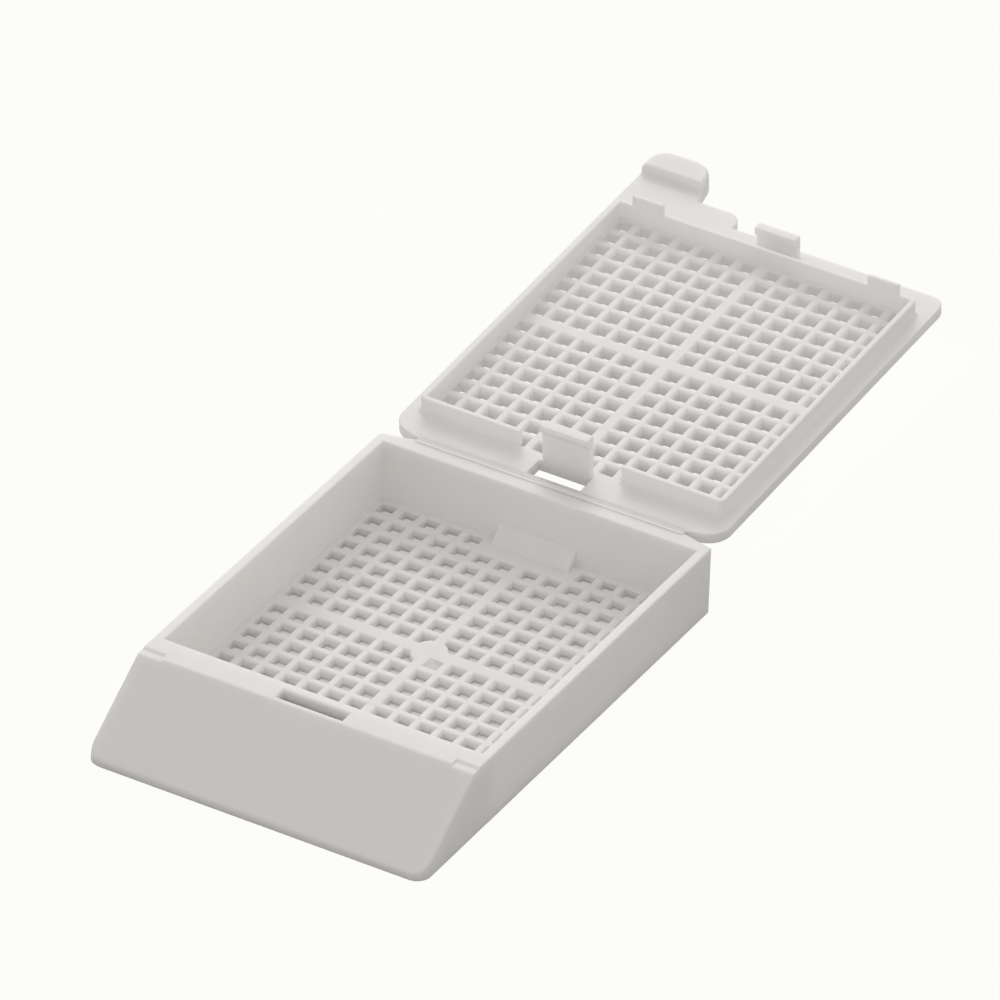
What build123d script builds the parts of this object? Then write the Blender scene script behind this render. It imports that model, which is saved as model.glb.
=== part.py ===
from build123d import *
import os
from math import atan2, sin

os.makedirs("parts", exist_ok=True)

# Tissue cassette: an open perforated base and its lid, moulded in one piece of white acetal and
# joined by a film hinge along the rear edge. The lid is modelled open, as it leaves the mould.
# Millimetres. X runs across, +Y from the sloping front to the lid, +Z up. The origin is under
# the middle of the base's perforated floor, on the surface that the base stands on.

# Base: outside
base_width = 28.5
base_length = 41.45  # from the rear wall to the toe, without the hinge
base_height = 5.72
slope_run = 7.15  # the sloping front, from the rim's edge to the toe
toe_height = 0.65  # upright face below the slope
toe_corner_radius = 1.2
slope_edge_radius = 0.55
toe_edge_radius = 0.22

# Base: the well
side_wall = 0.81
rear_wall = 0.865
front_rim = 2.4  # flat rim between the well and the slope
floor_thickness = 0.76

# Base: perforated floor, in four fields with a plain cross between them
columns_per_side = 7
rows_per_side = 8
hole_size = 1.3
spine_width = 0.874  # plain rib down the middle
cross_width = 1.27  # plain rib across the middle
cross_offset = 0.1675  # the cross lies this far in front of the well's middle
side_margin = 0.47
rear_margin = 0.545
front_margin = 0.21
gate_diameter = 2.3  # disc at the crossing, where the plastic was injected

# Base: hollow front, open below
front_shell = 0.9
well_front_wall = 0.75

# Base: keeper for the lid's tab at the rear, slot for the lid's hook at the front
keeper_width = 6.6
keeper_depth = 1.235
keeper_height = 2.05
recess_width = 4.7
recess_top = 2.95
recess_depth = 0.4
slot_width = 5.5
slot_depth = 1.0
slot_setback = 0.5  # from the slope's upper edge
corner_land_width = 2.0
corner_land_depth = 0.8
corner_land_drop = 0.38

cut_through = 1.0  # how far a cutting solid runs past the face that it opens

# Film hinge
hinge_width = 23.1
flange_depth = 0.7  # how far the base reaches back to the film
film_length = 0.2
film_thickness = 0.25
film_relief = 0.03  # notch that lets the lid drop below level
closed_gap = 0.05  # between the rim and the closed lid
open_tilt = 3.57  # degrees, the lid's rise above level as moulded

# Lid: plate
lid_inset = 0.1  # each side, against the base
plate_thickness = 0.98
rear_corner_rise = 0.77  # the near edge falls back from the film by this much at the corners
rear_corner_radius = 1.35
front_corner_radius = 1.1
thumb_corner_radius = 1.5
platform_width = 9.6
platform_reach = 1.7
thumb_width = 5.65
thumb_taper = 0.4
thumb_reach = 3.75
thumb_lip_length = 2.6
thumb_lip_height = 0.8

# Lid: perforated field
lid_hole_size = 1.28
lid_spine_width = 0.9
lid_cross_width = 1.12
lid_cross_setback = 0.1  # forward of the cross in the base's floor
lid_side_margin = 0.06
lid_rear_margin = 1.335  # from the base's rear wall to the first row
lid_front_margin = 0.82  # from the base's front wall to the last row

# Lid: skirt that enters the well
skirt_height = 1.39
skirt_wall = 0.48
skirt_side_gap = 0.35
skirt_rear_gap = 1.205
skirt_front_gap = 0.2
skirt_front_wall = 0.4
skirt_opening = 8.7  # gap in the rear wall of the skirt, at the tab
tooth_inner = 8.9
tooth_width = 2.7
tooth_height = 2.3

# Lid: tab that drops behind the keeper's recess, and hook that enters the front slot
tab_width = 4.1
tab_thickness = 0.68
tab_wall_gap = 0.585  # from the base's rear wall
tab_keeper_gap = 0.32
tab_barb = 0.5
tab_barb_height = 0.9
window_depth = 1.85
window_side_gap = 0.25
hook_width = 3.6
hook_thickness = 0.5
hook_barb = 0.34
hook_barb_height = 0.9
hook_height = 1.95
hook_slot_gap = 0.1
barb_bevel = 0.25  # on the tips of the tab and the hook

# Places worked out from the sizes above
half_width = base_width / 2
well_half = half_width - side_wall
well_length = base_length - rear_wall - front_rim - slope_run
well_rear = well_length / 2 + cross_offset  # from the origin to the rear wall
well_front = well_length / 2 - cross_offset  # from the origin to the front wall
rear_face = well_rear + rear_wall
rim_edge = well_front + front_rim
toe = rim_edge + slope_run
roof_height = base_height - front_shell
hinge_y = rear_face + flange_depth + film_length / 2
hinge_z = base_height + closed_gap
lid_half = half_width - lid_inset
skirt_half = well_half - skirt_side_gap


def block(x, y, z):
    """Box between three pairs of limits."""
    middle = [(low + high) / 2 for low, high in (x, y, z)]
    return Pos(*middle) * Box(x[1] - x[0], y[1] - y[0], z[1] - z[0])


def reach(distance):
    """Distance from the hinge, in the open lid, of what lies over Y = distance when closed."""
    return hinge_y - distance


def hole_field(x, y, z, size):
    """Rows and columns of square holes that fill the rectangle x by y."""
    pitch_x = (x[1] - x[0] - size) / (columns_per_side - 1)
    pitch_y = (y[1] - y[0] - size) / (rows_per_side - 1)
    centre = Pos((x[0] + x[1]) / 2, (y[0] + y[1]) / 2, (z[0] + z[1]) / 2)
    spots = GridLocations(pitch_x, pitch_y, columns_per_side, rows_per_side)
    return [centre * spot * Box(size, size, z[1] - z[0]) for spot in spots]


def hole_fields(x_reach, y_near, y_far, y_cross, spine, cross, z, size):
    """Four fields of holes around a plain spine and cross."""
    rows = [(y_near, y_cross - cross / 2), (y_cross + cross / 2, y_far)]
    columns = [(-x_reach, -spine / 2), (spine / 2, x_reach)]
    return [hole for y in rows for x in columns for hole in hole_field(x, y, z, size)]


# --- base ---


def side_profile(points):
    """Face in the YZ plane through the given (y, z) corners."""
    return Plane.YZ * make_face(Polyline(*points, close=True))


def base_block():
    """Solid outside of the base: level rim, sloping front, upright toe, softened front edges."""
    corners = [(rear_face, 0), (rear_face, base_height), (-rim_edge, base_height),
               (-toe, toe_height), (-toe, 0)]
    body = extrude(side_profile(corners), amount=half_width, both=True)
    body = fillet(body.edges().filter_by(Axis.Z).group_by(Axis.Y)[0], toe_corner_radius)
    front_faces = body.faces().filter_by(lambda face: face.center().Y < -rim_edge)
    slope = front_faces.sort_by(lambda face: face.normal_at().Z)[-1]
    body = fillet(slope.edges(), slope_edge_radius)
    foot = body.edges().group_by(Axis.Z)[0]
    return fillet(foot.filter_by(lambda edge: edge.center().Y < -toe + toe_corner_radius), toe_edge_radius)


def hinge_flange():
    """Shelf behind the rear wall that carries the base's half of the film."""
    outline = [(-half_width, rear_face), (half_width, rear_face),
               (hinge_width / 2, rear_face + flange_depth), (-hinge_width / 2, rear_face + flange_depth)]
    top_view = Pos(0, 0, base_height - plate_thickness) * make_face(Polyline(*outline, close=True))
    film = [(rear_face, base_height), (hinge_y, hinge_z), (hinge_y - film_relief, hinge_z - film_thickness),
            (rear_face, base_height - film_thickness)]
    return extrude(top_view, plate_thickness) + extrude(side_profile(film), hinge_width / 2, both=True)


def front_hollow():
    """Space below the roof and the slope, open underneath."""
    slope = atan2(base_height - toe_height, slope_run)
    inset = front_shell / sin(slope)
    fall = slope_run / (base_height - toe_height)
    wall = -(well_front + well_front_wall)
    roof_edge = -rim_edge - front_shell * fall + inset
    toe_inside = -toe + front_shell
    bend = roof_height - (roof_edge - toe_inside) / fall
    corners = [(wall, -cut_through), (wall, roof_height), (roof_edge, roof_height), (toe_inside, bend),
               (toe_inside, -cut_through)]
    return extrude(side_profile(corners), well_half, both=True)


def hook_slot():
    """Slot through the rim for the lid's hook."""
    front = -rim_edge + slot_setback
    return block((-slot_width / 2, slot_width / 2), (front, front + slot_depth),
                 (roof_height - cut_through / 2, base_height + cut_through))


def corner_lands():
    """Lowered lands at the rim's two front corners."""
    inner = half_width - corner_land_width
    y = (-rim_edge - slope_run, -rim_edge + corner_land_depth)
    z = (base_height - corner_land_drop, base_height + cut_through)
    outer = half_width + cut_through
    return [block(x, y, z) for x in ((inner, outer), (-outer, -inner))]


def keeper():
    """Low block against the rear wall, below the tip of the closed lid's tab."""
    return block((-keeper_width / 2, keeper_width / 2), (well_rear - keeper_depth, well_rear),
                 (0, keeper_height))


def plain_patch():
    """Unpierced stretch of the floor's rear row, around the keeper."""
    half = keeper_width / 2 + hole_size / 2
    return block((-half, half), (well_rear - rear_margin - hole_size, well_rear), (0, floor_thickness))


def gate_disc():
    """Disc at the crossing of the plain ribs."""
    return Pos(0, 0, floor_thickness / 2) * Cylinder(gate_diameter / 2, floor_thickness)


def recess():
    """Shallow pocket in the rear wall, where the tab's barb springs out."""
    return block((-recess_width / 2, recess_width / 2), (well_rear, well_rear + recess_depth),
                 (keeper_height, recess_top))


def make_base():
    """The open, perforated base."""
    body = base_block() + hinge_flange()
    body -= block((-well_half, well_half), (-well_front, well_rear),
                  (floor_thickness, base_height + cut_through))
    body -= front_hollow()
    body -= hook_slot()
    body -= corner_lands()
    through = (-cut_through, floor_thickness + cut_through)
    body -= hole_fields(well_half - side_margin, front_margin - well_front, well_rear - rear_margin, 0,
                        spine_width, cross_width, through, hole_size)
    body += [keeper(), plain_patch(), gate_disc()]
    return body - recess()


# --- lid, modelled level with its hinge on the X axis and its inner face up ---


def lid_outline():
    """Face of the lid's plate, with the thumb tab at one front corner."""
    near = film_length / 2
    far = reach(-rim_edge)
    step = far + platform_reach
    tip = step + thumb_reach
    thumb = thumb_width - lid_half
    corner = near + rear_corner_rise
    outline = [(-hinge_width / 2, near), (hinge_width / 2, near), (lid_half, corner), (lid_half, far),
               (platform_width - lid_half, far), (platform_width - lid_half, step), (thumb, step),
               (thumb - thumb_taper, tip), (-lid_half, tip), (-lid_half, corner)]
    rounds = {2: rear_corner_radius, 3: front_corner_radius, 5: front_corner_radius,
              7: thumb_corner_radius, 8: thumb_corner_radius, 9: rear_corner_radius}
    face = make_face(Polyline(*outline, close=True))
    for number, radius in rounds.items():
        face = fillet(face.vertices().sort_by_distance((*outline[number], 0))[0], radius)
    return face


def skirt():
    """Low wall around the perforated field, open at the tab, with two taller teeth in front."""
    near = reach(well_rear - skirt_rear_gap)
    far = reach(skirt_front_gap - well_front)
    inner = skirt_half - skirt_wall
    through = (-plate_thickness, skirt_height + cut_through)
    wall = block((-skirt_half, skirt_half), (near, far), (-plate_thickness / 2, skirt_height))
    wall -= block((-inner, inner), (near + skirt_wall, far - skirt_front_wall), through)
    wall -= block((-skirt_opening / 2, skirt_opening / 2), (near - cut_through, near + skirt_wall), through)
    for side in (-1, 1):
        x = sorted((side * tooth_inner, side * (tooth_inner + tooth_width)))
        wall += block(x, (far - skirt_front_wall, far), (0, tooth_height))
    return wall


def tab():
    """Upright tab by the hinge, with a barb at its tip that faces the hinge."""
    face = reach(well_rear - tab_wall_gap)
    height = hinge_z - keeper_height - tab_keeper_gap
    under = height - tab_barb_height
    profile = [(face, -plate_thickness / 2), (face, under), (face - tab_barb, height - barb_bevel),
               (face - tab_barb + barb_bevel, height), (face + tab_thickness, height),
               (face + tab_thickness, -plate_thickness / 2)]
    return extrude(side_profile(profile), tab_width / 2, both=True)


def tab_window():
    """Window through the plate between the film and the tab."""
    face = reach(well_rear - tab_wall_gap)
    half = tab_width / 2 + window_side_gap
    through = (-plate_thickness - cut_through, cut_through)
    return block((-half, half), (face - window_depth, face), through)


def hook():
    """Upright hook at the front edge, with a barb at its tip that faces the hinge."""
    face = reach(-rim_edge + slot_setback + hook_slot_gap)
    back = face - hook_thickness
    under = hook_height - hook_barb_height
    profile = [(face, -plate_thickness / 2), (face, hook_height), (back, hook_height),
               (back - hook_barb, hook_height - barb_bevel), (back - hook_barb, under + barb_bevel),
               (back, under), (back, -plate_thickness / 2)]
    return extrude(side_profile(profile), hook_width / 2, both=True)


def thumb_lip():
    """Raised lip along the end of the thumb tab, with the tab's own rounded outline."""
    tip = reach(-rim_edge) + platform_reach + thumb_reach
    start = Pos(0, tip - thumb_lip_length / 2)
    end = lid_outline() & start * Rectangle(base_width, thumb_lip_length)
    return Pos(0, 0, -plate_thickness / 2) * extrude(end, plate_thickness / 2 + thumb_lip_height)


def lid_film():
    """The lid's half of the film hinge."""
    profile = [(0, 0), (film_length, 0), (film_length, -film_thickness), (0, -film_thickness)]
    return extrude(side_profile(profile), hinge_width / 2, both=True)


def make_lid():
    """The lid, opened to the tilt at which it was moulded."""
    body = Pos(0, 0, -plate_thickness) * extrude(lid_outline(), plate_thickness) + lid_film()
    through = (-plate_thickness - cut_through, cut_through)
    body -= hole_fields(skirt_half - skirt_wall - lid_side_margin, reach(well_rear - lid_rear_margin),
                        reach(lid_front_margin - well_front), reach(-lid_cross_setback), lid_spine_width,
                        lid_cross_width, through, lid_hole_size)
    body -= tab_window()
    body += [skirt(), tab(), hook(), thumb_lip()]
    return Pos(0, hinge_y, hinge_z) * Rot(open_tilt, 0, 0) * body


export_step(make_base(), "parts/base.step")
export_step(make_lid(), "parts/lid.step")
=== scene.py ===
import bmesh
import bpy
import math
import numpy as np
from mathutils import Matrix, Vector


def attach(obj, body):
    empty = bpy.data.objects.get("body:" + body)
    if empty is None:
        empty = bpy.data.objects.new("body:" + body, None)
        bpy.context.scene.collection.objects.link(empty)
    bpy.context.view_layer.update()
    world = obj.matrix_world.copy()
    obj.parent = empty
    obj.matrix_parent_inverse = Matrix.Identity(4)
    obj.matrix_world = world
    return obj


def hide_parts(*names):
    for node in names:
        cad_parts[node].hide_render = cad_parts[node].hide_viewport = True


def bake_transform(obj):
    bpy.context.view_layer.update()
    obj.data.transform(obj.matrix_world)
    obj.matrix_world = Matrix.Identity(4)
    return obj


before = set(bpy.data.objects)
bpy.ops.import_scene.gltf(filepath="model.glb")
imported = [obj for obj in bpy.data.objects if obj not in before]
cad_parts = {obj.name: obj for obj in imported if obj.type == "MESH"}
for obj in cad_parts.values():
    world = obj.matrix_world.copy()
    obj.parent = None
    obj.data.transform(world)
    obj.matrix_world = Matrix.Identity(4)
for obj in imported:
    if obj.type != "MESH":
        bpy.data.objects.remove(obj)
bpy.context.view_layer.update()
mm = 0.001  # lengths are in millimetres unless a note says otherwise
wide = 99  # a limit that takes in the whole piece
margin = 0.01  # how far a box reaches past a face to catch what lies on it

# Limits of the shared tools: distances in millimetres, turns between faces in radians
shaping = dict(samePlace=0.001, boxSlack=0.0001, weld=0.0001, flatDegrees=0.6, alongAxis=0.9,
               flatTurn=0.45, foldTurn=0.1, steepestTurn=2.2, foldAcross=0.98, roundSegments=3)


def skinOfBlocks(blocks, guides=((), (), ())):
    # Blocks (x0, x1, y0, y1, z0, z1, filled) are laid one after another on a grid ruled at all their limits
    # and at the guides. The skin is every cell wall with material on one side and air on the other.
    blocks = np.array(blocks, float)
    lines = [np.unique(np.round(np.append(blocks[:, 2 * a:2 * a + 2], guides[a]), 4)) for a in range(3)]
    mids = [(v[1:] + v[:-1]) / 2 for v in lines]
    filled = np.zeros([len(v) for v in mids], bool)
    for block in blocks:
        inside = [(mids[a] > block[2 * a]) & (mids[a] < block[2 * a + 1]) for a in range(3)]
        filled[np.ix_(*inside)] = block[6] > 0
    padded = np.pad(filled, 1).astype(int)
    shape = np.array([len(v) for v in lines])
    strides = np.array([shape[1] * shape[2], shape[2], 1])
    quads = []
    for a, b, c in ((0, 1, 2), (1, 2, 0), (2, 0, 1)):
        step = np.diff(padded, axis=a)
        step = step[tuple(slice(None) if k == a else slice(1, -1) for k in range(3))]
        for sign in (1, -1):
            corner = np.stack(np.nonzero(step == sign), 1) @ strides
            ring = np.array([0, strides[b], strides[b] + strides[c], strides[c]])
            quads.append(corner[:, None] + (ring[::-1] if sign > 0 else ring))
    quads = np.concatenate(quads)
    used, quads = np.unique(quads, return_inverse=True)
    index = np.stack(np.unravel_index(used, shape), 1)
    points = np.stack([lines[a][index[:, a]] for a in range(3)], 1)
    return points, quads.reshape(-1, 4)


def holeCentres(s):
    # Columns mirrored about the spine, and two groups of rows parted by the cross bar, evenly spaced
    half, cross = s["hole"] / 2, s["cross"]
    x = np.linspace(s["spine"] + half, s["fieldSide"] - half, s["columns"])
    low = np.linspace(s["fieldNear"] + half, cross - s["crossHalf"] - half, s["rows"])
    high = np.linspace(cross + s["crossHalf"] + half, s["fieldFar"] - half, s["rows"])
    return np.concatenate([-x[::-1], x]), np.concatenate([low, high])


def holeLines(s):
    # Every column's and row's centre, less and plus half a hole: where the holes' edges lie
    return [np.sort(np.concatenate([v - s["hole"] / 2, v + s["hole"] / 2])) for v in holeCentres(s)]


def holeBlocks(s, low, high):
    # One square cut for each crossing of a column and a row
    x, y = (v.ravel() for v in np.meshgrid(*holeCentres(s), indexing="ij"))
    half = s["hole"] / 2
    ones = np.ones_like(x)
    return np.stack([x - half, x + half, y - half, y + half, low * ones, high * ones, 0 * ones], 1).tolist()


def meshFrom(name, points, faces):
    # Points in millimetres become a mesh in metres
    mesh = bpy.data.meshes.new(name)
    mesh.from_pydata((points * mm).tolist(), [], faces.tolist())
    mesh.validate()
    return mesh


def edgeFacts(mesh):
    # Per edge: midpoint, unit direction, turn between its two faces in radians, and whether it stands proud,
    # which is so where the second face's centre lies below the plane of the first
    places = np.zeros(len(mesh.vertices) * 3)
    mesh.vertices.foreach_get("co", places)
    places = places.reshape(-1, 3) / mm
    ends = np.zeros(len(mesh.edges) * 2, int)
    mesh.edges.foreach_get("vertices", ends)
    a, b = places[ends.reshape(-1, 2)].transpose(1, 0, 2)
    sides = np.zeros(len(mesh.polygons), int)
    mesh.polygons.foreach_get("loop_total", sides)
    edgeOfLoop = np.zeros(len(mesh.loops), int)
    mesh.loops.foreach_get("edge_index", edgeOfLoop)
    faceOfLoop = np.repeat(np.arange(len(sides)), sides)
    pairs = faceOfLoop[np.argsort(edgeOfLoop, kind="stable")].reshape(-1, 2)
    normals, centres = np.zeros(len(sides) * 3), np.zeros(len(sides) * 3)
    mesh.polygons.foreach_get("normal", normals)
    mesh.polygons.foreach_get("center", centres)
    n, c = normals.reshape(-1, 3)[pairs], centres.reshape(-1, 3)[pairs]
    turn = np.arccos(np.clip((n[:, 0] * n[:, 1]).sum(1), -1, 1))
    proud = ((c[:, 1] - c[:, 0]) * n[:, 0]).sum(1) < 0
    along = (b - a) / np.maximum(np.linalg.norm(b - a, axis=1, keepdims=True), 1e-9)
    return (a + b) / 2, along, turn, proud


def inBox(points, low, high):
    # Which points lie between the two corners, give or take the slack
    slack = shaping["boxSlack"]
    return ((points >= np.array(low) - slack) & (points <= np.array(high) + slack)).all(1)


def isAt(values, place):
    # Which coordinates are the given one
    return np.abs(values - place) < shaping["samePlace"]


def lineAlongX(x0, x1, y, z):
    # A box as thin as a line, for seams that are kept
    return (x0, y, z), (x1, y, z), None


def lineAlongY(x, y0, y1, z):
    # The same from front to rear
    return (x, y0, z), (x, y1, z), None


def mirrored(low, high, *rest):
    # A rule for the right side, and the same rule for the left
    return [(low, high, *rest), ((-high[0], *low[1:]), (-low[0], *high[1:]), *rest)]


def tidySkin(mesh, keep, drop=()):
    # Flat seams between cells go, except in the boxes that are kept. A kept box may name its own lines
    # (x places, y places), and then only the seams on those lines stay, so no stray line runs beside a hole.
    # In the dropped boxes no seam stays.
    middle, along, _, _ = edgeFacts(mesh)
    kept = np.zeros(len(middle), bool)
    for low, high, lines in keep:
        hit = inBox(middle, low, high)
        if lines is not None:
            on = [isAt(middle[:, a, None], np.array(lines[a])[None]).any(1) for a in (0, 1)]
            hit &= np.where(np.abs(along[:, 1]) > shaping["alongAxis"], on[0], on[1])
        kept |= hit
    for low, high in drop:
        kept &= ~inBox(middle, low, high)
    mesh.edges.foreach_set("use_seam", kept)
    bm = bmesh.new()
    bm.from_mesh(mesh)
    bmesh.ops.remove_doubles(bm, verts=bm.verts, dist=shaping["weld"] * mm)
    bmesh.ops.dissolve_degenerate(bm, edges=bm.edges, dist=shaping["weld"] * mm)
    bmesh.ops.dissolve_limit(bm, angle_limit=math.radians(shaping["flatDegrees"]), verts=bm.verts,
                             edges=bm.edges, delimit={"SEAM"})
    bm.to_mesh(mesh)
    bm.free()


def roundCorners(mesh, spots, segments, profile=0.5, reach=0.02):
    # Large rounds seen in plan, on the upright edges at each spot (x, y, radius): a circular arc at profile
    # 0.5, straight at 0.25, and bowed the other way below that
    for x, y, radius in spots:
        bm = bmesh.new()
        bm.from_mesh(mesh)
        middle, along, _, _ = edgeFacts(mesh)
        hit = inBox(middle, (x - reach, y - reach, -wide), (x + reach, y + reach, wide))
        hit &= np.abs(along[:, 2]) > shaping["alongAxis"]
        bm.edges.ensure_lookup_table()
        bmesh.ops.bevel(bm, geom=[bm.edges[i] for i in np.nonzero(hit)[0]], offset=radius * mm,
                        offset_type="OFFSET", segments=segments, profile=profile, affect="EDGES")
        bm.to_mesh(mesh)
        bm.free()


def roundEdges(mesh, rules):
    # Edge radius by place: each rule is (low corner, high corner, axis or None, proud, sunk), and later rules
    # win. A round of radius r on an edge that turns by t leaves the two faces r * tan(t / 2) from the edge;
    # a negative number gives that distance itself. The widest one is returned, in metres.
    middle, along, turn, proud = edgeFacts(mesh)
    radius = np.zeros(len(middle))
    for low, high, axis, out, into in rules:
        hit = inBox(middle, low, high)
        if axis is not None:
            hit &= np.abs(along[:, axis]) > shaping["alongAxis"]
        radius[hit & proud] = out
        radius[hit & ~proud] = into
    arc = radius * np.tan(np.minimum(turn, shaping["steepestTurn"]) / 2)
    width = np.where(radius < 0, -radius, arc) * (turn > shaping["flatTurn"])
    name = "bevel_weight_edge"
    weight = mesh.attributes.get(name) or mesh.attributes.new(name, "FLOAT", "EDGE")
    weight.data.foreach_set("value", (width / width.max()).astype(np.float32))
    fold = (turn > shaping["foldTurn"]) & (turn < shaping["flatTurn"])  # shallow folds across stay crisp
    mesh.edges.foreach_set("use_edge_sharp", fold & (np.abs(along[:, 0]) > shaping["foldAcross"]))
    return width.max() * mm


def addPiece(mesh, material, body):
    # A smooth-shaded object that rides on a body
    piece = bpy.data.objects.new(mesh.name, mesh)
    bpy.context.scene.collection.objects.link(piece)
    mesh.materials.append(material)
    mesh.shade_smooth()
    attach(piece, body)
    return piece


def addRounding(piece, width):
    # Each edge is rounded by its weight times the widest width
    rounding = piece.modifiers.new("edgeRounds", "BEVEL")
    rounding.limit_method = "WEIGHT"
    rounding.width = width
    rounding.segments = shaping["roundSegments"]
    rounding.use_clamp_overlap = False
    rounding.harden_normals = True
    rounding.miter_outer = "MITER_SHARP"


# The base: an open tray with a perforated floor, a sloping front over a hollow, and the hinge's shelf behind
baseSizes = dict(
    halfWidth=14.25, height=5.72, rearFace=16.55, rimEdge=-17.75,
    toe=-24.9, toeHeight=0.65, toeCornerRound=1.2, toeCornerSegments=7,
    wellHalf=13.44, wellRear=15.685, wellFront=-15.35, floor=0.76,
    roof=4.82, frontShell=0.9, hollowRear=-16.1, hollowLeast=0.12,
    columns=7, rows=8, hole=1.2, spine=0.487, cross=0, crossHalf=0.685,
    fieldSide=12.92, fieldNear=-15.09, fieldFar=15.09,
    keeperHalf=3.3, keeperFront=14.45, keeperTop=2.05,
    recessHalf=2.35, recessTop=2.95, recessDepth=0.05,
    slotHalf=2.75, slotFront=-17.25, slotRear=-16.25,
    landInner=12.25, landRear=-16.95, landTop=5.6,
    flangeHalf=11.55, flangeRear=17.25, flangeUnder=4.74,
    padReach=0.77, padBulge=0.164, padBlind=0.7, padFall=0.26, padSegments=8)

# Edge radii of the base, (proud, sunk); minus a width where the faces' distance itself is meant
baseRadii = dict(
    everywhere=(0.12, 0.1), holeWalls=(0.04, 0.13), floorTop=(0.17, 0.18), floorFront=(0.11, 0.12),
    padBlind=(0.04, 0.04), keeper=(0.04, 0.04), keeperFront=(0.25, 0.25), recess=(0.02, 0.02),
    wellCorner=(0.12, 0.2), slope=(0.5, 0.1), toe=(-0.2, 0.1), slopeSide=(-0.2, 0.1), toeFoot=(0.12, 0.12),
    landStep=(0.02, 0.02), slotTop=(0.2, 0.1), slotFoot=(0.02, 0.02), flange=(0.02, 0.02))


def frontSlope(s):
    # The slope's fall is its drop over its run. The roof's edge is where the shell's inner face, one
    # thickness under the slope and square to it, comes up to the hollow's level roof.
    fall = (s["height"] - s["toeHeight"]) / (s["rimEdge"] - s["toe"])
    roofEdge = s["rimEdge"] - s["frontShell"] / fall + s["frontShell"] / math.sin(math.atan(fall))
    return fall, roofEdge


def baseBlocks(s):
    # Outer block and shelf; well, hollow, slot, corner lands and holes cut; pad, patch and keeper filled in
    # the cut floor; the recess over the keeper cut last
    side, well, keeper, recess = s["halfWidth"], s["wellHalf"], s["keeperHalf"], s["recessHalf"]
    fall, roofEdge = frontSlope(s)
    landFront = s["rimEdge"] - (s["height"] - s["landTop"]) / fall
    patch = keeper + s["hole"] / 2
    acrossHole, alongHole = s["spine"] + s["hole"], s["crossHalf"] + s["hole"]
    return [
        (-side, side, s["toe"], s["rearFace"], 0, s["height"], 1),
        (-side, side, s["rearFace"], s["flangeRear"], s["flangeUnder"], s["height"], 1),
        (-well, well, s["wellFront"], s["wellRear"], s["floor"], s["height"], 0),
        (-well, well, s["toe"] + s["frontShell"], s["hollowRear"], 0, s["roof"], 0),
        (-well, well, roofEdge, s["hollowRear"], 0, s["roof"], 0),
        (-s["slotHalf"], s["slotHalf"], s["slotFront"], s["slotRear"], s["roof"], s["height"], 0),
        (-side, -s["landInner"], landFront, s["landRear"], s["landTop"], s["height"], 0),
        (s["landInner"], side, landFront, s["landRear"], s["landTop"], s["height"], 0),
        *holeBlocks(s, 0, s["floor"]),
        (s["spine"], acrossHole, -alongHole, -s["crossHalf"], 0, s["padBlind"], 1),
        (-patch, patch, s["fieldFar"] - s["hole"], s["wellRear"], 0, s["floor"], 1),
        (-keeper, keeper, s["keeperFront"], s["wellRear"], 0, s["keeperTop"], 1),
        (-recess, recess, s["wellRear"], s["wellRear"] + s["recessDepth"], s["keeperTop"], s["recessTop"], 0),
    ]


def shapeBase(points, s):
    # In front of the rim every level sinks along the slope; the hollow's roof runs level and then parallel
    # to it. A few flat tops then become ramps.
    x, y, z = points.T.copy()
    fall, roofEdge = frontSlope(s)
    top = np.minimum(s["height"], s["height"] + (y - s["rimEdge"]) * fall)
    under = np.maximum(np.minimum(s["roof"], s["roof"] + (y - roofEdge) * fall), s["hollowLeast"])
    inFront = y < s["hollowRear"]
    low = inFront & (z <= s["roof"])
    z[low] = (z * under / s["roof"])[low]
    high = inFront & (z > s["roof"])
    z[high] = np.minimum(z, top)[high]
    # the pad runs on over the blind hole, falling from its inner corner to its outer one
    outX, outY, half = x - s["spine"], -y - s["crossHalf"], s["hole"] / 2
    inHole = (np.abs(outX - half) < half + margin) & (np.abs(outY - half) < half + margin)
    blind = inHole & isAt(z, s["padBlind"])
    z[blind] = (s["floor"] - s["padFall"] * (outX + outY) / s["hole"])[blind]
    # the corner lands fall from the rim to its front edge
    land = isAt(z, s["landTop"]) & isAt(y, s["landRear"]) & (np.abs(x) > s["landInner"] - margin)
    z[land] = s["height"]
    # the keeper leans back to the wall
    onKeeper = (np.abs(x) < s["keeperHalf"] + margin) & (y > s["keeperFront"] - margin) & (y < s["wellRear"])
    y[onKeeper & isAt(z, s["keeperTop"])] = s["wellRear"]
    # the shelf narrows to the width of the film
    rear = isAt(y, s["flangeRear"])
    x[rear] = np.clip(x, -s["flangeHalf"], s["flangeHalf"])[rear]
    return np.stack([x, y, z], 1)


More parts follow.
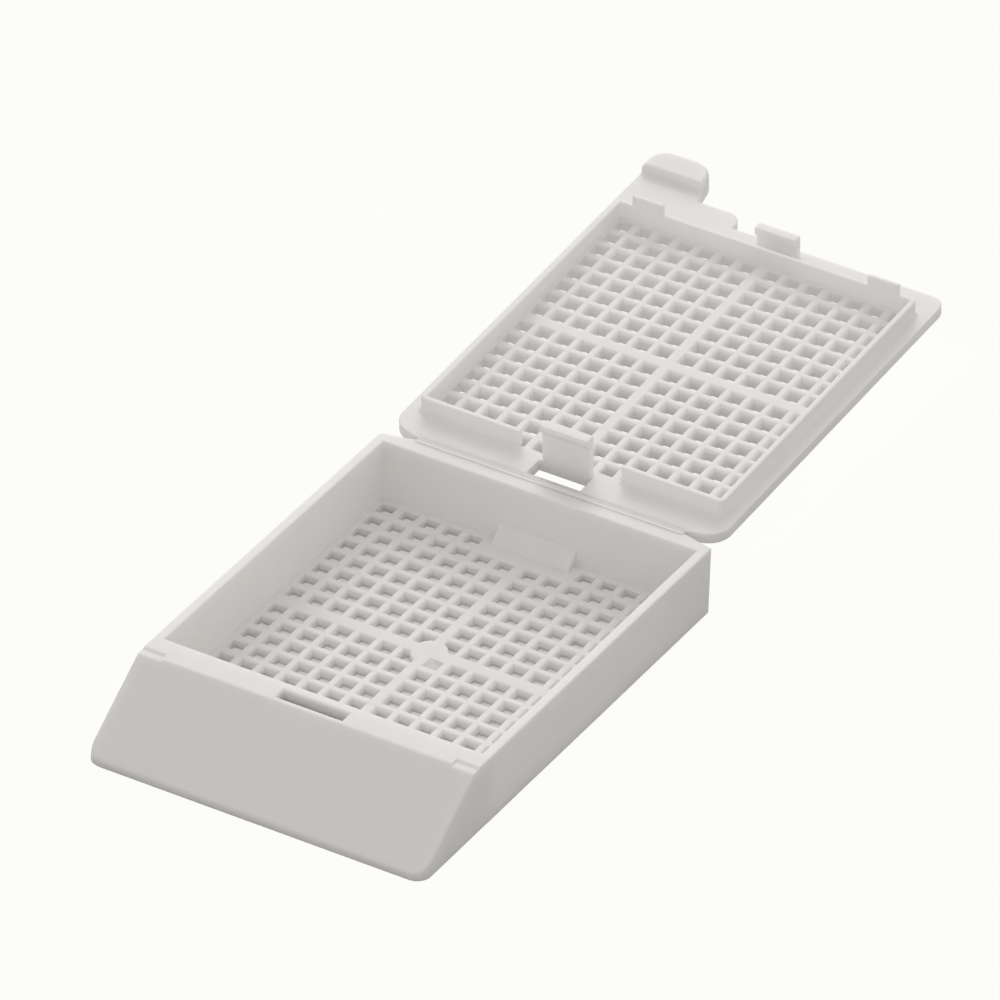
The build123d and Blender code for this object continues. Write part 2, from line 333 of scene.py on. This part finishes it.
def makeBase(s):
    side, field, well, lines = s["halfWidth"], s["fieldSide"], s["wellHalf"], holeLines(s)
    slot, spine, cross, toe = s["slotHalf"], s["spine"], s["crossHalf"], s["toe"]
    fieldEnds = s["fieldNear"], s["fieldFar"]
    points, quads = skinOfBlocks(baseBlocks(s), ((), s["rimEdge"], ()))
    mesh = meshFrom("baseShell", shapeBase(points, s), quads)
    keep = [((-field, s["fieldNear"], z), (field, s["fieldFar"], z), lines) for z in (0, s["floor"])]
    keep += [lineAlongX(-well, well, y, s["floor"]) for y in fieldEnds]
    keep += [lineAlongY(x, s["wellFront"], s["wellRear"], s["floor"]) for x in (-field, field)]
    keep += [lineAlongX(-side, side, y, 0) for y in fieldEnds]
    keep += [lineAlongY(x, s["fieldNear"], s["rearFace"], 0) for x in (-field, field)]
    keep += [lineAlongX(-side, side, y, s["height"]) for y in (s["wellFront"], s["wellRear"])]
    keep += [lineAlongY(x, -wide, s["wellFront"], z) for x in (-slot, slot) for z in (s["height"], s["roof"])]
    tidySkin(mesh, keep, [((-spine, -cross, z), (spine, cross, z)) for z in (0, s["floor"])])
    roundCorners(mesh, [(x, toe, s["toeCornerRound"]) for x in (-side, side)], s["toeCornerSegments"])
    # the gate's pad fills the near corner of three of the four holes round it, bulging a little into each
    padCorners = [(x, y, s["padReach"]) for x, y in ((-spine, -cross), (-spine, cross), (spine, cross))]
    roundCorners(mesh, padCorners, s["padSegments"], s["padBulge"])
    return mesh


def baseRounds(s, r):
    # The base's rules for roundEdges
    side, well, field, floor, top = s["halfWidth"], s["wellHalf"], s["fieldSide"], s["floor"], s["height"]
    front, rear, rim, land = s["wellFront"], s["wellRear"], s["rimEdge"], s["landInner"]
    keeper, keeperFront, slot = s["keeperHalf"], s["keeperFront"], s["slotHalf"]
    acrossHole, alongHole = s["spine"] + s["hole"], s["crossHalf"] + s["hole"]
    toe, toeRear, blindFoot = s["toe"], s["toe"] + s["toeCornerRound"], 0.3
    roofLow, roofHigh = s["roof"] - margin, s["roof"] + margin
    return [
        ((-wide, -wide, -wide), (wide, wide, wide), None, *r["everywhere"]),
        ((-field, s["fieldNear"], 0), (field, s["fieldFar"], floor), None, *r["holeWalls"]),
        ((-well, front, floor), (well, rear, floor), None, *r["floorTop"]),
        ((-well, front, floor), (well, s["fieldNear"], floor), 0, *r["floorFront"]),
        ((s["spine"], -alongHole, blindFoot), (acrossHole, -s["crossHalf"], floor), None, *r["padBlind"]),
        ((-keeper, keeperFront, floor), (keeper, rear, s["keeperTop"]), None, *r["keeper"]),
        ((-keeper, keeperFront, floor), (keeper, keeperFront, floor), 0, *r["keeperFront"]),
        ((-keeper, rear, s["keeperTop"]), (keeper, s["rearFace"], s["recessTop"]), None, *r["recess"]),
        *mirrored((well, front, floor + margin), (well, rear, top - margin), 2, *r["wellCorner"]),
        ((-side, rim, top), (side, rim, top), 0, *r["slope"]),
        ((-side, toe, s["toeHeight"]), (side, toeRear, s["toeHeight"] + 1), None, *r["toe"]),
        *mirrored((side, toeRear, 1), (side, rim, s["landTop"] - margin), None, *r["slopeSide"]),
        ((-side, toe, 0), (side, toeRear, 0), None, *r["toeFoot"]),
        *mirrored((land, -wide, s["landTop"]), (land, s["landRear"], top), None, *r["landStep"]),
        *mirrored((land + margin, -wide, s["landTop"]), (side, rim - margin, s["landTop"]), 0, *r["slope"]),
        ((-slot, s["slotFront"], top), (slot, s["slotRear"], top), None, *r["slotTop"]),
        ((-slot, s["slotFront"], roofLow), (slot, s["slotRear"], roofHigh), None, *r["slotFoot"]),
        ((-s["flangeHalf"], s["flangeRear"], top), (s["flangeHalf"], s["flangeRear"], top), 0, *r["flange"]),
    ]


# The lid: a perforated plate with a skirt, a thumb tab, a catch tab and a hook, worked out level with the
# hinge on the x axis and its inner face up, then opened
lidSizes = dict(
    halfWidth=14.15, plate=0.98, near=0.1, far=35.1, hingeHalf=11.55, cornerRise=0.77, cornerFade=2.5,
    nearRound=1.35, farRound=1.1, thumbRound=1.5, cornerSegments=6,
    platformRight=-4.55, platformEnd=36.8,
    thumbRight=-8.5, thumbTaper=0.7, thumbEnd=40.55, lipStart=37.95, lip=0.8,
    columns=7, rows=8, hole=1.06, spine=0.56, cross=17.45, crossHalf=0.67,
    fieldSide=12.44, fieldNear=3.11, fieldFar=31.77,
    skirtHalf=13.09, skirtNear=2.87, skirtFar=32.5, skirt=1.39,
    skirtWall=0.48, skirtFarWall=0.4, skirtGap=4.35, skirtRound=0.5,
    toothInner=8.9, toothWidth=2.7, tooth=2.3, windowHalf=2.3, windowNear=0.4,
    tabHalf=2.05, tabNear=2.25, tabFar=2.93, tab=3.4, tabBarb=0.5, tabUnder=2.5,
    hookHalf=1.8, hookNear=34.0, hookFar=34.5, hook=1.95, hookBarb=0.34, hookUnder=1.05, bevel=0.25,
    hingeY=17.35, hingeZ=5.77, tilt=3.57)

# Edge radii of the lid, (proud, sunk)
lidRadii = dict(
    everywhere=(0.12, 0.1), innerFace=(0.06, 0.06), skirtFoot=(0.36, 0.36), outerFace=(0.2, 0.2),
    platformCorner=(0.12, 0.13), window=(0.03, 0.03), holeWalls=(0.04, 0.16), holeRims=(0.25, 0.05),
    nearHoles=(0.16, 0.05), farFloor=(0.14, 0.14), sideFloor=(0.08, 0.07), nearFloor=(0.09, 0.05),
    nearFoot=(0.04, 0.04), skirtCorner=(0.05, 0.14), gapEnd=(0.22, 0.1), gapInside=(0.07, 0.07),
    gapFoot=(0.04, 0.04), gapEndFoot=(0.04, 0.06), tabFoot=(0.05, 0.05), hingeCorner=(0, 0),
    hingeEdge=(0.02, 0.02), lipFoot=(0.3, 0.36), lipTop=(0.36, 0.3))


def lidBlocks(s):
    # Plate, platform, thumb tab, lip and skirt, whose inside and gap are cut out; two teeth; holes and window
    # cut; then the catch tab and the hook, each with its barb
    side, under, inner = s["halfWidth"], -s["plate"], s["skirtHalf"] - s["skirtWall"]
    nearIn, farIn = s["skirtNear"] + s["skirtWall"], s["skirtFar"] - s["skirtFarWall"]
    tab, tabTip = s["tabHalf"], s["tabNear"] - s["tabBarb"]
    hook, hookTip = s["hookHalf"], s["hookNear"] - s["hookBarb"]
    teeth = [(x, x + s["toothWidth"], farIn, s["skirtFar"], 0, s["tooth"], 1)
             for x in (s["toothInner"], -s["toothInner"] - s["toothWidth"])]
    return [
        (-side, side, s["near"], s["far"], under, 0, 1),
        (-side, s["platformRight"], s["far"], s["platformEnd"], under, 0, 1),
        (-side, s["thumbRight"], s["platformEnd"], s["thumbEnd"], under, 0, 1),
        (-side, s["thumbRight"], s["lipStart"], s["thumbEnd"], 0, s["lip"], 1),
        (-s["skirtHalf"], s["skirtHalf"], s["skirtNear"], s["skirtFar"], 0, s["skirt"], 1),
        (-inner, inner, nearIn, farIn, 0, s["skirt"], 0),
        (-s["skirtGap"], s["skirtGap"], s["skirtNear"], nearIn, 0, s["skirt"], 0),
        *teeth,
        *holeBlocks(s, under, 0),
        (-s["windowHalf"], s["windowHalf"], s["windowNear"], s["tabNear"], under, 0, 0),
        (-tab, tab, s["tabNear"], s["tabFar"], under, s["tab"], 1),
        (-tab, tab, tabTip, s["tabNear"], s["tabUnder"], s["tab"], 1),
        (-hook, hook, s["hookNear"], s["hookFar"], 0, s["hook"], 1),
        (-hook, hook, hookTip, s["hookNear"], s["hookUnder"], s["hook"], 1),
    ]


def shapeLid(points, s):
    # The near edge falls back towards the corners, the thumb tab tapers, and both barbs lean to their tips
    x, y, z = points.T.copy()
    rise = s["cornerRise"] * np.clip((np.abs(x) - s["hingeHalf"]) / (s["halfWidth"] - s["hingeHalf"]), 0, 1)
    fade = np.clip(1 - (y - s["near"]) / (s["cornerFade"] - s["near"]), 0, 1)
    taper = s["thumbTaper"] * np.clip((y - s["platformEnd"]) / (s["thumbEnd"] - s["platformEnd"]), 0, 1)
    x -= taper * (x + s["halfWidth"]) / (s["thumbRight"] + s["halfWidth"])
    tabTip, hookTip = s["tabNear"] - s["tabBarb"], s["hookNear"] - s["hookBarb"]
    onTab = (np.abs(x) < s["tabHalf"] + margin) & isAt(y, tabTip)
    onHook = (np.abs(x) < s["hookHalf"] + margin) & isAt(y, hookTip)
    y[onTab & isAt(z, s["tabUnder"])] = s["tabNear"]
    y[onTab & isAt(z, s["tab"])] = tabTip + s["bevel"]
    y[onHook & isAt(z, s["hookUnder"])] = s["hookNear"]
    return np.stack([x, y + rise * fade, z], 1)


def makeLid(s):
    side, tip, field, under = s["halfWidth"], s["thumbEnd"], s["fieldSide"], -s["plate"]
    skirt, inner = s["skirtHalf"], s["skirtHalf"] - s["skirtWall"]
    window, hook = s["windowHalf"], s["hookHalf"]
    nearIn, farIn = s["skirtNear"] + s["skirtWall"], s["skirtFar"] - s["skirtFarWall"]
    fieldEnds, lines, nearCorner = (s["fieldNear"], s["fieldFar"]), holeLines(s), s["near"] + s["cornerRise"]
    levels = s["tab"] - s["bevel"], s["hook"] - s["bevel"], s["hookUnder"] + s["bevel"]
    points, quads = skinOfBlocks(lidBlocks(s), ((-s["hingeHalf"], s["hingeHalf"]), (), levels))
    mesh = meshFrom("lidShell", shapeLid(points, s), quads)
    keep = [((-field, s["fieldNear"], z), (field, s["fieldFar"], z), lines) for z in (under, 0)]
    keep += [lineAlongX(-inner, inner, y, 0) for y in fieldEnds]
    keep += [lineAlongY(x, nearIn, farIn, 0) for x in (-field, field)]
    keep += [lineAlongX(-side, side, y, under) for y in fieldEnds]
    keep += [lineAlongY(x, *fieldEnds, under) for x in (-field, field)]
    keep += [lineAlongY(x, s["near"], s["windowNear"], z) for x in (-window, window) for z in (under, 0)]
    keep += [lineAlongY(x, s["skirtFar"], s["far"], 0) for x in (-hook, hook)]
    tidySkin(mesh, keep)
    roundCorners(mesh, [
        (-side, nearCorner, s["nearRound"]), (side, nearCorner, s["nearRound"]),
        (side, s["far"], s["farRound"]), (s["platformRight"], s["platformEnd"], s["farRound"]),
        (-side, tip, s["thumbRound"]), (s["thumbRight"] - s["thumbTaper"], tip, s["thumbRound"]),
        (-skirt, s["skirtNear"], s["skirtRound"]), (skirt, s["skirtNear"], s["skirtRound"]),
        (-skirt, s["skirtFar"], s["skirtRound"]), (skirt, s["skirtFar"], s["skirtRound"]),
    ], s["cornerSegments"])
    return mesh


def lidRounds(s, r):
    # The lid's rules for roundEdges, in its level frame
    side, field = s["halfWidth"], s["fieldSide"]
    skirt, inner = s["skirtHalf"], s["skirtHalf"] - s["skirtWall"]
    near, far, top, under = s["skirtNear"], s["skirtFar"], s["skirt"], -s["plate"]
    nearIn, farIn = near + s["skirtWall"], far - s["skirtFarWall"]
    fieldNear, fieldFar, thumbEnd, lip = s["fieldNear"], s["fieldFar"], s["thumbEnd"], s["lip"]
    tab, window, hinge = s["tabHalf"], s["windowHalf"], s["hingeHalf"] + margin
    gapIn, gapOut, besideGap = s["skirtGap"] - margin, s["skirtGap"] + margin, s["skirtGap"] + 0.3
    aboveFoot = 0.1
    return [
        ((-wide, -wide, -wide), (wide, wide, wide), None, *r["everywhere"]),
        ((-wide, -wide, 0), (wide, wide, 0), None, *r["innerFace"]),
        ((-skirt, near, 0), (skirt, far, 0), None, *r["skirtFoot"]),
        ((-wide, -wide, under), (wide, wide, under), None, *r["outerFace"]),
        ((-side, s["far"], under), (0, s["platformEnd"], 0), 2, *r["platformCorner"]),
        ((-window, s["windowNear"], under), (window, s["tabFar"], 0), None, *r["window"]),
        ((-field, fieldNear, under), (field, fieldFar, 0), None, *r["holeWalls"]),
        ((-field, fieldNear, 0), (field, fieldFar, 0), None, *r["holeRims"]),
        ((-field, fieldNear, 0), (field, fieldNear + s["hole"], 0), 1, *r["nearHoles"]),
        ((-inner, fieldFar, 0), (inner, farIn, 0), 0, *r["farFloor"]),
        *mirrored((field, fieldNear, 0), (inner, farIn, 0), 1, *r["sideFloor"]),
        ((-inner, fieldNear, 0), (inner, fieldNear, 0), 0, *r["nearFloor"]),
        ((-inner, nearIn, 0), (inner, nearIn, 0), 0, *r["nearFoot"]),
        *mirrored((inner, nearIn, 0), (inner, farIn, top), 2, *r["skirtCorner"]),
        ((-gapOut, near, aboveFoot), (gapOut, nearIn, top), 2, *r["gapEnd"]),
        ((-gapOut, nearIn, aboveFoot), (gapOut, nearIn, top), 2, *r["gapInside"]),
        ((-besideGap, fieldNear, 0), (besideGap, nearIn, 0), None, *r["gapFoot"]),
        *mirrored((gapIn, near, 0), (gapOut, nearIn, 0), 1, *r["gapEndFoot"]),
        ((-tab, s["tabFar"], 0), (tab, s["tabFar"], 0), None, *r["tabFoot"]),
        ((-hinge, s["near"], under), (hinge, s["near"], 0), 2, *r["hingeCorner"]),
        ((-hinge, s["near"], 0), (hinge, s["near"], 0), 0, *r["hingeEdge"]),
        ((-side, s["lipStart"], 0), (0, thumbEnd, 0), None, *r["lipFoot"]),
        ((-side, s["lipStart"], lip), (0, thumbEnd, lip), None, *r["lipTop"]),
    ]


def openLid(mesh, s):
    # From the level frame to the place in the part: tilt about the hinge, then move to it
    mesh.transform(Matrix.Translation((0, s["hingeY"] * mm, s["hingeZ"] * mm))
                   @ Matrix.Rotation(math.radians(s["tilt"]), 4, "X"))


# The film hinge, carried across the part as one profile and bent between the two halves
filmSizes = dict(half=11.55, baseY=17.25, lidY=17.45, overlap=0.3, thickness=0.25, rootThickness=0.45,
                 endRound=0.12, endSteps=5, endLeast=0.05, topBase=5.72, axisZ=5.77, tilt=3.57,
                 acrossSteps=48, alongSteps=16, proud=0.006)


def makeFilm(s, material):
    # Along the film, t runs from the base's shelf to the lid's edge. The top follows both halves' upper
    # faces, and the thickness falls from the roots to the middle as a cosine groove. Across, the section
    # shrinks onto its middle line over the last endRound, as a quarter circle.
    t = np.linspace(-1, 1, s["alongSteps"] + 1)
    y = s["baseY"] - s["overlap"] + (t + 1) / 2 * (s["lidY"] - s["baseY"] + 2 * s["overlap"])
    bends = [s["baseY"], (s["baseY"] + s["lidY"]) / 2, s["lidY"], s["lidY"] + 1]
    heights = [s["topBase"], s["axisZ"], s["axisZ"], s["axisZ"] + math.tan(math.radians(s["tilt"]))]
    top = np.interp(y, bends, heights) + s["proud"]
    groove = (1 - np.cos(math.pi * t)) / 2 * np.abs(t)
    half = (s["thickness"] + (s["rootThickness"] - s["thickness"]) * groove) / 2
    middle = top - half
    ringY = np.concatenate([y, y[::-1]])
    ringRise = np.concatenate([half, -half[::-1]])
    ringMiddle = np.concatenate([middle, middle[::-1]])
    straight = s["half"] - s["endRound"]
    cap = straight + s["endRound"] * np.sin(np.linspace(0, math.pi / 2, s["endSteps"]))
    across = np.concatenate([-cap[::-1], np.linspace(-straight, straight, s["acrossSteps"])[1:-1], cap])
    reach = np.clip(np.abs(across) - straight, 0, None) / s["endRound"]
    grow = np.maximum(np.sqrt(np.clip(1 - reach ** 2, 0, 1)), s["endLeast"])
    acrossAll = np.repeat(across[:, None], len(ringY), 1)
    alongAll = np.repeat(ringY[None], len(across), 0)
    upAll = ringMiddle[None] + grow[:, None] * ringRise[None]
    points = np.stack([acrossAll, alongAll, upAll], 2).reshape(-1, 3)
    n = len(ringY)
    i, j = (v.ravel() for v in np.meshgrid(np.arange(len(across) - 1), np.arange(n), indexing="ij"))
    k = (j + 1) % n
    quads = np.stack([i * n + j, (i + 1) * n + j, (i + 1) * n + k, i * n + k], 1)
    mesh = meshFrom("filmHinge", points, quads)
    bm = bmesh.new()
    bm.from_mesh(mesh)
    bmesh.ops.holes_fill(bm, edges=[e for e in bm.edges if e.is_boundary], sides=0)
    bmesh.ops.recalc_face_normals(bm, faces=bm.faces)
    bm.to_mesh(mesh)
    bm.free()
    mesh.materials.append(material)
    mesh.shade_smooth()
    film = bpy.data.objects.new("filmHinge", mesh)
    bpy.context.scene.collection.objects.link(film)
    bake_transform(film)
    return film


# Moulded acetal; scatterScale and grainHeight are in metres, the two scales are per metre
acetal = dict(name="whiteAcetal", colour=(0.93, 0.92535, 0.91884), roughness=0.42, roughDepth=0.1, ior=1.48,
              subsurface=1.0, scatterScale=0.0006, scatterRadius=(1, 0.97, 0.94),
              cloudScale=420, cloudDetail=4, cloudDepth=0.018,
              grainScale=9000, grainDetail=2, grainHeight=0.0000015)
filmAcetal = dict(acetal, name="whiteAcetalFilm", subsurface=0.0, colour=(0.92, 0.9154, 0.90896))


def whiteAcetal(s):
    # Moulded plastic: faint clouds in tone and gloss a few millimetres wide, and a fine grain in the surface
    material = bpy.data.materials.new(s["name"])
    material.use_nodes = True
    nodes, links = material.node_tree.nodes, material.node_tree.links
    shader = nodes["Principled BSDF"]
    shader.inputs["Subsurface Weight"].default_value = s["subsurface"]
    shader.inputs["Subsurface Scale"].default_value = s["scatterScale"]
    shader.inputs["Subsurface Radius"].default_value = s["scatterRadius"]
    shader.inputs["IOR"].default_value = s["ior"]
    place = nodes.new("ShaderNodeTexCoord")
    clouds, grain = nodes.new("ShaderNodeTexNoise"), nodes.new("ShaderNodeTexNoise")
    for noise, scale, detail in ((clouds, "cloudScale", "cloudDetail"), (grain, "grainScale", "grainDetail")):
        links.new(place.outputs["Object"], noise.inputs["Vector"])
        noise.inputs["Scale"].default_value = s[scale]
        noise.inputs["Detail"].default_value = s[detail]
    tone = nodes.new("ShaderNodeMix")
    tone.data_type = "RGBA"
    tone.inputs["A"].default_value = (*(c * (1 - s["cloudDepth"]) for c in s["colour"]), 1)
    tone.inputs["B"].default_value = (*(c * (1 + s["cloudDepth"]) for c in s["colour"]), 1)
    gloss = nodes.new("ShaderNodeMapRange")
    gloss.inputs["To Min"].default_value = s["roughness"] - s["roughDepth"]
    gloss.inputs["To Max"].default_value = s["roughness"] + s["roughDepth"]
    bump = nodes.new("ShaderNodeBump")
    bump.inputs["Distance"].default_value = s["grainHeight"]
    links.new(clouds.outputs["Fac"], tone.inputs["Factor"])
    links.new(clouds.outputs["Fac"], gloss.inputs["Value"])
    links.new(grain.outputs["Fac"], bump.inputs["Height"])
    links.new(tone.outputs["Result"], shader.inputs["Base Color"])
    links.new(gloss.outputs["Result"], shader.inputs["Roughness"])
    links.new(bump.outputs["Normal"], shader.inputs["Normal"])
    return material


plastic = whiteAcetal(acetal)

baseMesh = makeBase(baseSizes)
baseWidth = roundEdges(baseMesh, baseRounds(baseSizes, baseRadii))
baseShell = addPiece(baseMesh, plastic, "base")
addRounding(baseShell, baseWidth)
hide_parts("base")
print("base built,", len(baseMesh.polygons), "faces before rounding")

lidMesh = makeLid(lidSizes)
lidWidth = roundEdges(lidMesh, lidRounds(lidSizes, lidRadii))
openLid(lidMesh, lidSizes)
lidShell = addPiece(lidMesh, plastic, "lid")
addRounding(lidShell, lidWidth)
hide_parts("lid")
print("lid built,", len(lidMesh.polygons), "faces before rounding")

makeFilm(filmSizes, whiteAcetal(filmAcetal))
print("film hinge built")


# Angles in degrees, distance, aim and clipping in metres, lens and sensor in millimetres
viewPoint = dict(azimuth=29.395, elevation=33.739, roll=1.945, distance=1.0154, lens=491.1, sensor=36,
                 aim=(-0.00414, 0.01715, 0.003), clipStart=0.05, clipEnd=20)


def direction(v):
    # Unit vector from the part towards an azimuth and elevation; azimuth 0 is in front of the toe
    a, e = math.radians(v["azimuth"]), math.radians(v["elevation"])
    return Vector((math.sin(a) * math.cos(e), -math.cos(a) * math.cos(e), math.sin(e)))


def placeCamera(v):
    # Camera on a sphere round the aim point, looking at it, then rolled about its own axis
    back = direction(v)
    camera = bpy.data.objects.new("camera", bpy.data.cameras.new("camera"))
    bpy.context.scene.collection.objects.link(camera)
    camera.data.lens = v["lens"]
    camera.data.sensor_width = v["sensor"]
    camera.data.clip_start = v["clipStart"]
    camera.data.clip_end = v["clipEnd"]
    turn = (-back).to_track_quat("-Z", "Y").to_matrix() @ Matrix.Rotation(math.radians(v["roll"]), 3, "Z")
    camera.matrix_world = Matrix.Translation(Vector(v["aim"]) + back * v["distance"]) @ turn.to_4x4()
    bpy.context.scene.camera = camera


placeCamera(viewPoint)
print("camera placed")

# Floor reach and drop in metres; boxes are (x0, x1, y0, y1)
stageSizes = dict(
    floorReach=3.0, floorDrop=0.00002, floorTone=0.52, floorUnder=0.92, paper=(1.0, 1.0, 0.965), glow=0.96,
    # painted shade: in the boxes under the base and under the lid the floor's glow is lowered to these levels
    underBase=(-13.9, 13.9, -15.6, 16.2), baseEdge=0.4, shadedGlowUnderBase=0.2,
    underLid=(-17.4, 7.8, 29.2, 58), lidEdge=0.8, shadedGlowUnderLid=0.9,
    behind=(-17.4, 14, -15.6, 58), behindEdge=0.4)


def maths(tree, operation, first, second):
    # One maths node; each input is a socket or a number
    node = tree.nodes.new("ShaderNodeMath")
    node.operation = operation
    for socket, value in zip(node.inputs, (first, second)):
        if isinstance(value, bpy.types.NodeSocket):
            tree.links.new(value, socket)
        else:
            socket.default_value = value
    return node.outputs[0]


def ramp(tree, value, low, high):
    # 0 at low, 1 at high, smooth between; low may be the larger of the two
    node = tree.nodes.new("ShaderNodeMapRange")
    node.interpolation_type = "SMOOTHSTEP"
    tree.links.new(value, node.inputs[0])
    node.inputs[1].default_value = low
    node.inputs[2].default_value = high
    return node.outputs[0]


def zone(tree, place, box, edge):
    # 1 inside the box (x0, x1, y0, y1), 0 outside it, with soft edges: the product of its four ramps
    x0, x1, y0, y1 = (v * mm for v in box)
    e = edge * mm
    acrossX = maths(tree, "MULTIPLY", ramp(tree, place[0], x0 - e, x0), ramp(tree, place[0], x1 + e, x1))
    acrossY = maths(tree, "MULTIPLY", ramp(tree, place[1], y0 - e, y0), ramp(tree, place[1], y1 + e, y1))
    return maths(tree, "MULTIPLY", acrossX, acrossY)


def palePaper(s):
    # Seen directly or in a reflection the paper glows evenly, except in soft-edged boxes under the base and
    # the lid,
    # where the glow is lowered: painted shade under the part, which lets the real shadow on the diffuse paper
    # show through its holes. What it throws back onto the part comes from its plain diffuse tone, which is
    # paler in a box round the part.
    paper = bpy.data.materials.new("palePaper")
    paper.use_nodes = True
    tree = paper.node_tree
    nodes, links = tree.nodes, tree.links
    diffuse = nodes["Principled BSDF"]
    diffuse.inputs["Roughness"].default_value = 1
    emit = nodes.new("ShaderNodeEmission")
    emit.inputs["Color"].default_value = (*s["paper"], 1)
    emit.inputs["Strength"].default_value = 1
    mix = nodes.new("ShaderNodeMixShader")
    path = nodes.new("ShaderNodeLightPath")
    split = nodes.new("ShaderNodeSeparateXYZ")
    links.new(nodes.new("ShaderNodeTexCoord").outputs["Object"], split.inputs[0])
    place = split.outputs
    glow = s["glow"]
    # painted shade: the glow is lowered in a soft-edged box under the base and in another under the lid
    for box, edge, under in (("underBase", "baseEdge", "shadedGlowUnderBase"), ("underLid", "lidEdge", "shadedGlowUnderLid")):
        inside = zone(tree, place, s[box], s[edge])
        glow = maths(tree, "SUBTRACT", glow, maths(tree, "MULTIPLY", inside, s["glow"] - s[under]))
    inside = zone(tree, place, s["behind"], s["behindEdge"])
    tone = maths(tree, "MULTIPLY", inside, s["floorUnder"] - s["floorTone"])
    links.new(maths(tree, "ADD", tone, s["floorTone"]), diffuse.inputs["Base Color"])
    mirror = maths(tree, "MAXIMUM", path.outputs["Is Glossy Ray"], path.outputs["Is Transmission Ray"])
    seen = maths(tree, "MAXIMUM", path.outputs["Is Camera Ray"], mirror)
    links.new(maths(tree, "MULTIPLY", seen, glow), mix.inputs[0])
    links.new(diffuse.outputs[0], mix.inputs[1])
    links.new(emit.outputs[0], mix.inputs[2])
    links.new(mix.outputs[0], nodes["Material Output"].inputs[0])
    return paper


def layFloor(s):
    # One large square just under the part
    reach, z = s["floorReach"], -s["floorDrop"]
    mesh = bpy.data.meshes.new("floor")
    mesh.from_pydata([(-reach, -reach, z), (reach, -reach, z), (reach, reach, z), (-reach, reach, z)],
                     [], [(0, 1, 2, 3)])
    mesh.materials.append(palePaper(s))
    floor = bpy.data.objects.new("floor", mesh)
    bpy.context.scene.collection.objects.link(floor)


layFloor(stageSizes)
print("floor laid")

# Angles in degrees, size, distance and aim in metres, power in watts
lighting = dict(colour=(1, 0.963, 0.935), sky=0.61)
keyLight = dict(name="keySoftbox", azimuth=211, elevation=28, size=1.0, power=6.9,
                distance=1.5, aim=(0, 0.016, 0))


def hangSky(s):
    # An even studio surround
    world = bpy.data.worlds.new("studio")
    bpy.context.scene.world = world
    world.use_nodes = True
    sky = world.node_tree.nodes["Background"]
    sky.inputs["Color"].default_value = (*s["colour"], 1)
    sky.inputs["Strength"].default_value = s["sky"]


def hangLamp(v, colour):
    # A square area lamp at a distance from its aim point, facing it
    light = bpy.data.lights.new(v["name"], "AREA")
    light.size = v["size"]
    light.energy = v["power"]
    light.color = colour
    lamp = bpy.data.objects.new(v["name"], light)
    bpy.context.scene.collection.objects.link(lamp)
    d = direction(v)
    turn = d.to_track_quat("Z", "Y").to_matrix().to_4x4()
    lamp.matrix_world = Matrix.Translation(d * v["distance"] + Vector(v["aim"])) @ turn


hangSky(lighting)
hangLamp(keyLight, lighting["colour"])
bpy.context.scene.view_settings.view_transform = "Standard"
print("lights hung")
